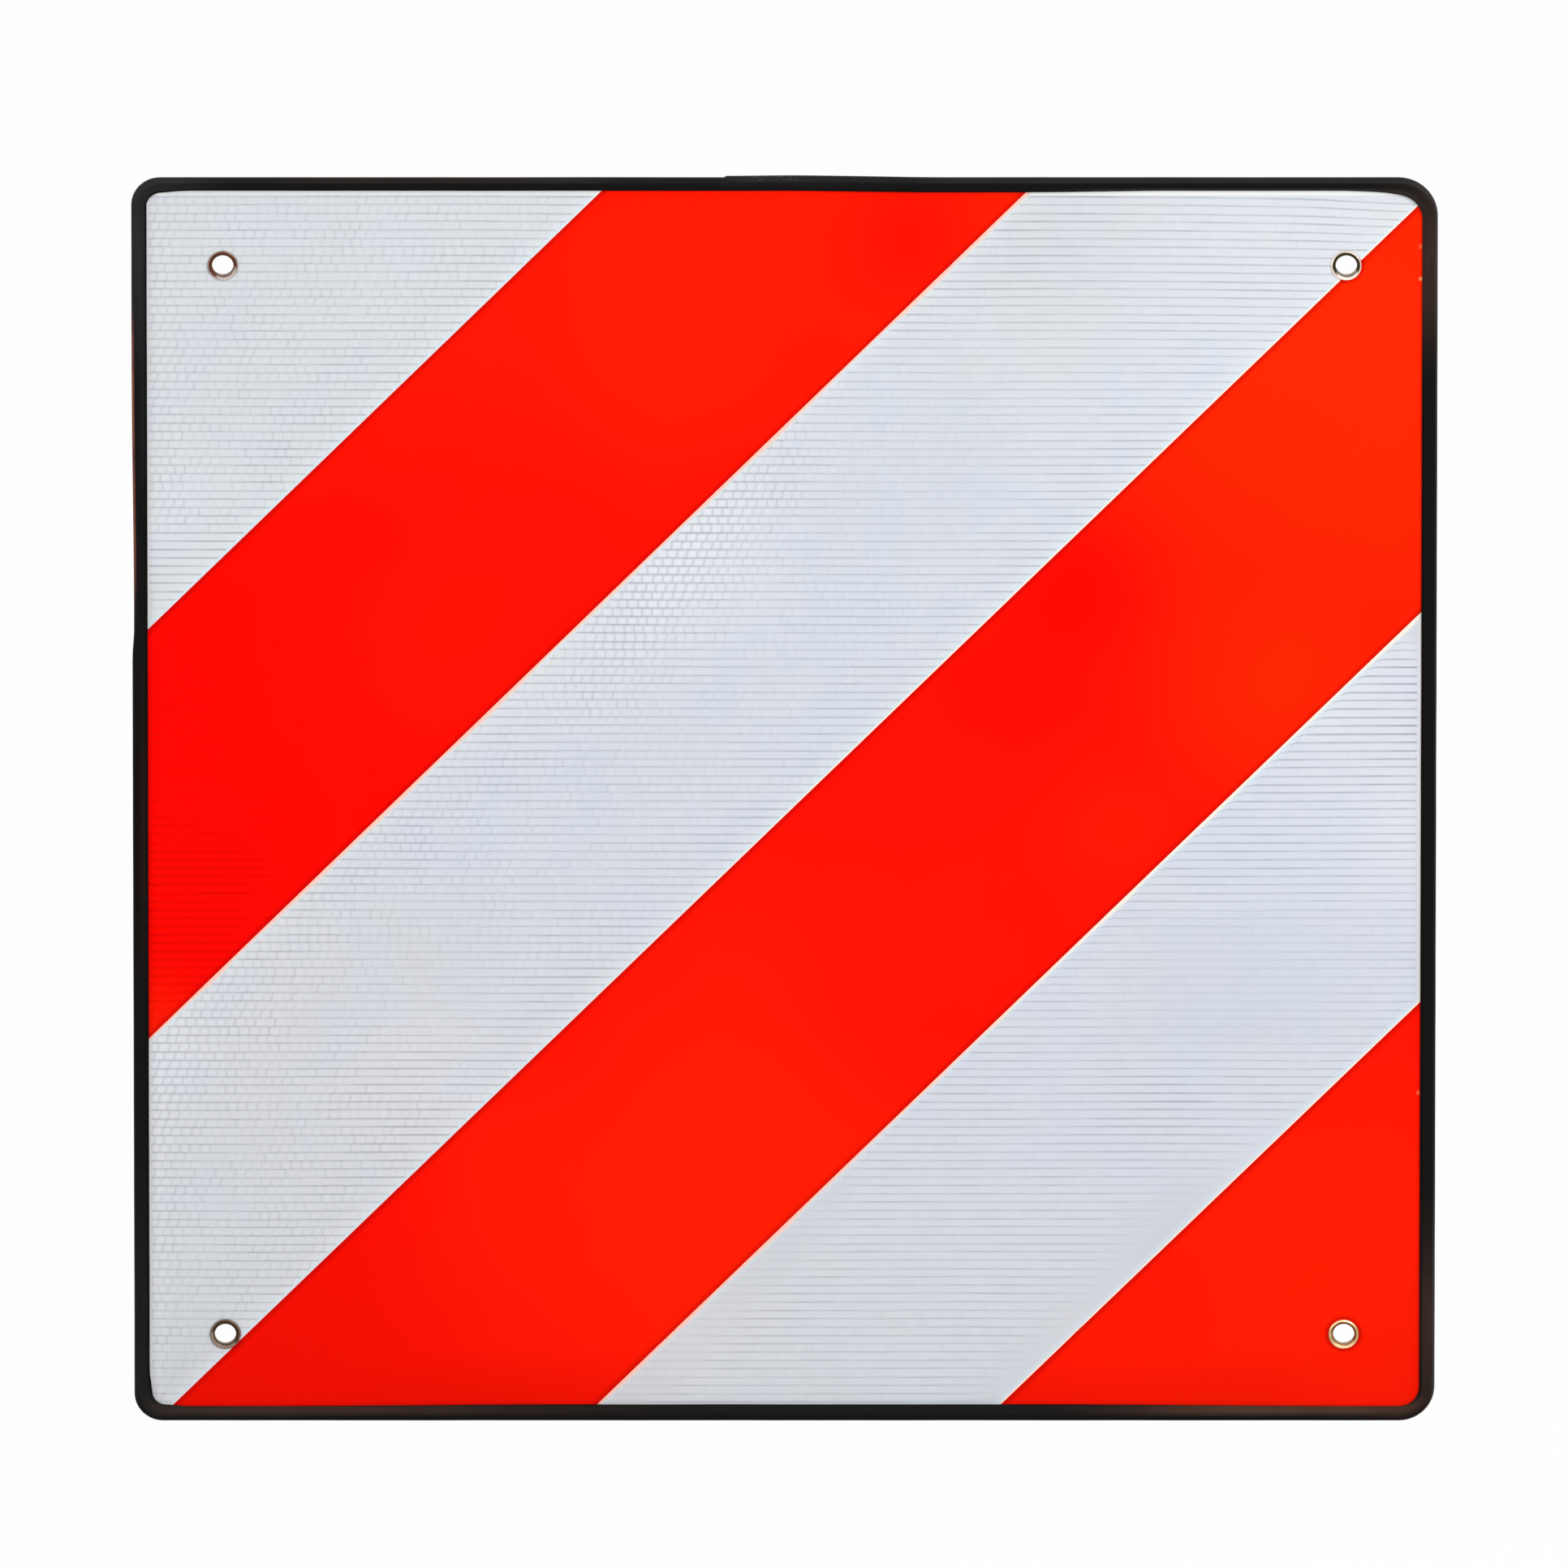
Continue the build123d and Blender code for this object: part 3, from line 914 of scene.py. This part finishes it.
def eyelet_section(tube_length):
    """The rolled tube with its flange seated at 0 and its clinch behind the sheet."""
    front = bore_radius + front_roll - circle_radius
    back = bore_radius + back_roll - circle_radius
    return [
        *arc((front, 0), front_roll, -180, 0, 20),
        *arc((front, 0), front_roll - tube_wall, 0, -180, 12),
        *arc((back, tube_length), back_roll - tube_wall, 180, 0, 12),
        *arc((back, tube_length), back_roll, 0, 180, 20),
    ]


def washer_section():
    """A flat ring with a rounded outer edge and a softened bore."""
    inside, outside = washer_inside - circle_radius, washer_outside - circle_radius
    rounding = washer_thickness - washer_edge
    return [
        (inside, 0),
        (outside, 0),
        *arc((outside - washer_edge, rounding), washer_edge, 0, 90, 6),
        *arc((inside + washer_edge, rounding), washer_edge, 90, 180, 6),
    ]


print("eyelet flange in mm:", round(2 * (bore_radius + 2 * front_roll) / mm, 2))

# %% [markdown]
# Each ring is turned by a fixed random angle and dented a little, as hand-set brass is. The dents come
# after the copies have been made real, so that no two are alike.

# %% Build the rings' tree
ring_inputs = {
    "Section": "Object",
    "Circle Radius": "Float",
    "Sides": "Int",
    "Dents": "Float",
    "Seed": "Int",
    "Finish": "Material",
}
dent_fineness = 260
upright = (math.radians(90), 0, 0)


def ring_tree():
    """Sweep a section around a circle, set it at each place, turn it and dent it."""
    given = new_tree("brass_rings", ring_inputs)
    sizes = {"Resolution": given.out("Sides"), "Radius": given.out("Circle Radius")}
    circle = given.node("GeometryNodeCurvePrimitiveCircle", sizes, mode="RADIUS")
    sweep = {"Curve": circle, "Profile Curve": drawn_section(given)}
    ring = given.node("GeometryNodeCurveToMesh", sweep)
    ring = given.node("GeometryNodeTransform", {"Geometry": ring, "Rotation": upright})
    turns = {2: 0, 3: 2 * math.pi, "Seed": given.out("Seed")}
    turn = given.node("FunctionNodeRandomValue", turns, 1, data_type="FLOAT")
    copies = {"Points": given, "Instance": ring, "Rotation": given.vector(0, turn)}
    rings = given.node("GeometryNodeInstanceOnPoints", copies)
    rings = given.node("GeometryNodeRealizeInstances", {"Geometry": rings})
    here = given.node("GeometryNodeInputPosition")
    close_tree(given, rings, uneven_shift(here, dent_fineness, given.out("Dents")))
    return given


ring_given = ring_tree()

# %% [markdown]
# Brass in the weather goes dark from the bore outwards; here the dark of the bore is partly patina and
# partly painted shade, and reaches further out at the top. A thin ring of painted shade lines the
# bore's rim, and each eyelet has painted light on one side. The finish folds the four places onto one
# and finds the distance from the axis. Each eyelet brings its own tone and painted light as attributes:
# its pale and its dark colour, how far out the dark goes, which way its lit side points, how far round
# the light reaches, and how dark the painted reflection on its left and right sides is. Behind the
# sheet, clinch and washer are plain dull brass, with dirt and painted shade in the groove between them.

# %% Make the brass finish
plain_brass = (0.560, 0.400, 0.185, 1)
tarnished_brass = (0.270, 0.185, 0.085, 1)
groove_dirt_and_shade = (0.040, 0.030, 0.018, 1)
groove_radius = (bore_radius + 2 * back_roll) / mm
lit_and_dark_colours = ("pale_brass", "dark_brass")
light_and_shade_numbers = ("dark_out", "wear_turn", "wear_reach", "side_tarnish")


def brass_looks(wire, place, x, z):
    """Rolled brass, darkened in the bore with patina and painted shade, with painted light on one side.
    """
    aside, above, from_axis = eyelet_axis(x, z)
    pale, dark = (wire.attribute(name, "Color") for name in lit_and_dark_colours)
    dark_out, turn, reach, side_reflection = (wire.attribute(name) for name in light_and_shade_numbers)
    turn = turn * math.radians(1)
    towards_lit_side = (aside * turn.math("COSINE") + above * turn.math("SINE")) / from_axis
    blotches = wire.noise(place, 2.2, detail=3, roughness=0.6)
    uneven = (blotches - 0.5) * 0.5
    # Painted light: the pale side of each eyelet stands for the side where light falls.
    wear_and_light = (towards_lit_side + uneven - reach).ramp(-0.25, 0.2)
    # Painted shade with patina: the dark of the bore, which reaches further out at the top.
    inside = (from_axis + uneven - (dark_out + above / from_axis * 0.25)).ramp(0.15, -0.2)
    # Painted shade: a thin dark ring at the bore's rim.
    bore_rim_shade = from_axis.ramp(4.9, 4.45) * 0.75
    back = paint_over(
        plain_brass,
        (blotches.ramp(0.35, 0.7), tarnished_brass),
        # Dirt and painted shade in the groove between clinch and washer.
        (abs(from_axis - groove_radius).ramp(0.45, 0.1) * 0.85, groove_dirt_and_shade),
    )
    brass = paint_over(
        pale,
        ((inside * (1 - wear_and_light)).math("MAXIMUM", bore_rim_shade), dark),
        # Blotchy tarnish, and a painted reflection that darkens the left and right sides.
        (uneven + (abs(aside) / from_axis).ramp(0.5, 1) * side_reflection, dark),
        (place.part("Y").ramp(-0.1, 0.1), back),
    )
    relief = wire.noise(place, 0.25).bump(0.3, 0.02)
    roughness = blotches * 0.2 + 0.2 + inside * 0.15
    return brass, roughness, {"Metallic": 1, "Normal": relief}


brass = make_finish("eyelet_brass_finish", brass_looks)

# %% [markdown]
# The places come from the CAD solids: the middle of each eyelet, and the depth where its flange meets
# the film. The one on bare white sheeting sits a red film's thickness lower than the rest. The
# eyelets become one mesh and the washers another, since they share a body.

# %% Set the eyelets and washers
# For each eyelet: its pale and its dark colour, how far out the painted shade of the bore goes, which way
# its painted light points, how far round it reaches, and how dark the painted reflection at its sides is.
tone_and_light_of = {
    "top_left": ((0.60, 0.54, 0.50, 1), (0.105, 0.036, 0.021, 1), 5.52, -62, 0.66, 0.25),
    "top_right": ((0.98, 0.87, 0.75, 1), (0.050, 0.036, 0.016, 1), 5.35, -85, 0.66, 0.05),
    "bottom_left": ((0.30, 0.22, 0.175, 1), (0.050, 0.033, 0.015, 1), 5.50, -118, 0.30, 0),
    "bottom_right": ((0.98, 0.72, 0.40, 1), (0.190, 0.062, 0.008, 1), 4.95, -115, 0.35, 0.5),
}
eyelet_nodes = [f"eyelet_{place}" for place in tone_and_light_of]
washer_nodes = [f"eyelet_washer_{place}" for place in tone_and_light_of]


def ring_places(name, depth_of):
    """A helper object with one point at each eyelet, at its depth, with its tone, painted light and
    shade.
    """
    middles = []
    for node in eyelet_nodes:
        low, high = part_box(node)
        middles.append(((low.x + high.x) / 2, depth_of(node), (low.z + high.z) / 2))
    host = outline_object(name, middles, closed=False)
    for label, values in zip(lit_and_dark_colours + light_and_shade_numbers, zip(*tone_and_light_of.values())):
        if label in lit_and_dark_colours:
            colours = host.data.attributes.new(label, "FLOAT_COLOR", "POINT")
            colours.data.foreach_set("color", [level for colour in values for level in colour])
        else:
            host.data.attributes.new(label, "FLOAT", "POINT").data.foreach_set("value", values)
    return host


def flange_seat(node):
    """The depth at which an eyelet's flange meets the film."""
    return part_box(node)[0].y + front_roll


tube_length = washer_high.y - flange_seat("eyelet_top_right")
eyelet_outline = outline_object("eyelet_section", eyelet_section(tube_length), closed=True)
washer_outline = outline_object("washer_section", washer_section(), closed=True)
eyelets = ring_places("eyelets", flange_seat)
washers = ring_places("eyelet_washers", lambda node: washer_low.y)
ring_sizes = {"Circle Radius": circle_radius, "Sides": 96, "Seed": 4, "Finish": brass}
grow(eyelets, ring_given, {**ring_sizes, "Section": eyelet_outline, "Dents": 0.035 * mm})
grow(washers, ring_given, {**ring_sizes, "Section": washer_outline, "Dents": 0.015 * mm})
for helper in (eyelet_outline, washer_outline):
    bpy.data.objects.remove(helper)

# %% [markdown]
# A grown mesh is checked before it goes on: a closed piece encloses a positive volume when its faces
# point outwards. A negative one is turned round here. Edges sharper than the set angle stay crisp
# and the rest shade smoothly.

# %% Turn the faces outwards and hand the pieces over
crisp_angle = math.radians(40)


def volume_of(mesh):
    """The signed volume inside a closed mesh, in cubic millimetres."""
    mesh.calc_loop_triangles()
    corners = ([mesh.vertices[i].co for i in triangle.vertices] for triangle in mesh.loop_triangles)
    return sum(a.dot(b.cross(c)) / 6 for a, b, c in corners) / mm**3


def hand_over(piece, nodes):
    """Finish a grown piece and let it stand for its CAD nodes."""
    if volume_of(piece.data) < 0:
        piece.data.flip_normals()
    piece.data.shade_smooth()
    piece.data.set_sharp_from_angle(angle=crisp_angle)
    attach(piece, "root")
    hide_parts(*nodes)
    print(piece.name, "encloses", round(volume_of(piece.data), 1), "cubic mm")


hand_over(channel, ["edge_trim"])
hand_over(eyelets, eyelet_nodes)
hand_over(washers, washer_nodes)

# %% [markdown]
# The panel stands on its lower edge on a wide pale floor. To the camera, and in reflections, floor
# and surroundings are white, which is what the Light Path node is for. For all other light the floor
# is a plain pale grey, so it still takes the panel's shadow, and a little of it shows.

# %% Set the floor and the surroundings
floor_half = 14.0
floor_grey = (0.90, 0.90, 0.90, 1)
plain_white = (1, 1, 1, 1)
backdrop_share = 0.97
sky_strength = 0.57


def seen_directly(wire):
    """1 for what the camera sees, directly, in a reflection or through glass, and 0 for other light."""
    camera = wire.node("ShaderNodeLightPath", output="Is Camera Ray")
    mirrored = camera.math("MAXIMUM", camera.out("Is Glossy Ray"))
    return mirrored.math("MAXIMUM", camera.out("Is Transmission Ray"))


floor_mesh = bpy.data.meshes.new("floor")
floor_corners = [(-1, -1), (1, -1), (1, 1), (-1, 1)]
floor_places = [(x * floor_half, y * floor_half, cad_low.z) for x, y in floor_corners]
floor_mesh.from_pydata(floor_places, [], [(0, 1, 2, 3)])
floor = add_object("floor", floor_mesh)
floor_finish = bpy.data.materials.new("floor_finish")
floor_wire = clear_nodes(floor_finish)
grey_floor = floor_wire.node("ShaderNodeBsdfDiffuse", {"Color": floor_grey})
white_glow = floor_wire.node("ShaderNodeEmission", {"Color": plain_white, "Strength": 1})
share = seen_directly(floor_wire) * backdrop_share
floor_surface = floor_wire.node("ShaderNodeMixShader", {0: share, 1: grey_floor, 2: white_glow})
floor_wire.node("ShaderNodeOutputMaterial", {"Surface": floor_surface})
floor_mesh.materials.append(floor_finish)

world = bpy.data.worlds.new("studio")
sky_wire = clear_nodes(world)
sky_level = seen_directly(sky_wire) * (1 - sky_strength) + sky_strength
sky = sky_wire.node("ShaderNodeBackground", {"Color": plain_white, "Strength": sky_level})
sky_wire.node("ShaderNodeOutputWorld", {"Surface": sky})
bpy.context.scene.world = world
print("floor at", round(cad_low.z / mm, 1), "mm")

# %% [markdown]
# One large soft lamp stands to the right in front, above the panel, so that the upper right is a
# little brighter than the lower left, as on the real face. A weak one on the left keeps the rubber's
# left side from going flat.

# %% Place the lamps
lamp_values = {
    "key": ((0.95, -1.65, 1.30), 1.2, 26.5),
    "left_fill": ((-1.70, -1.10, 0.35), 0.8, 5.0),
}


def stand(thing, place, direction):
    """Put a lamp or a camera at a place and turn it in a direction."""
    thing.location = place
    thing.rotation_mode = "QUATERNION"
    thing.rotation_quaternion = direction.to_track_quat("-Z", "Y")


for name, (lamp_place, side, power) in lamp_values.items():
    light = bpy.data.lights.new(name, "AREA")
    light.shape = "SQUARE"
    light.size = side
    light.energy = power
    lamp = add_object(name, light)
    lamp.visible_camera = False
    stand(lamp, lamp_place, -Vector(lamp_place))
print("lamps:", list(lamp_values))

# %% [markdown]
# The photograph shows a square panel a twentieth wider than it is high, with sides that stay
# parallel. A camera above it gives that ratio, and a very long lens far away keeps the sides
# parallel. The picture's width at the panel sets the distance.

# %% Set the camera
picture_width = 601.5 * mm
camera_height_angle = math.radians(17.6)
lens_length = 1600
sensor_width = 36
aim = Vector((-0.2 * mm, 0, 6.4 * mm))
towards_camera = Vector((0, -math.cos(camera_height_angle), math.sin(camera_height_angle)))
camera_data = bpy.data.cameras.new("camera")
camera_data.lens = lens_length
camera_data.sensor_width = sensor_width
camera_data.clip_start = 1
camera_data.clip_end = 60
camera = add_object("camera", camera_data)
distance_away = picture_width * lens_length / sensor_width
stand(camera, aim + towards_camera * distance_away, -towards_camera)
bpy.context.scene.camera = camera
bpy.context.scene.view_settings.view_transform = "Standard"
print("camera distance in m:", round(distance_away, 2))

# %% [markdown]
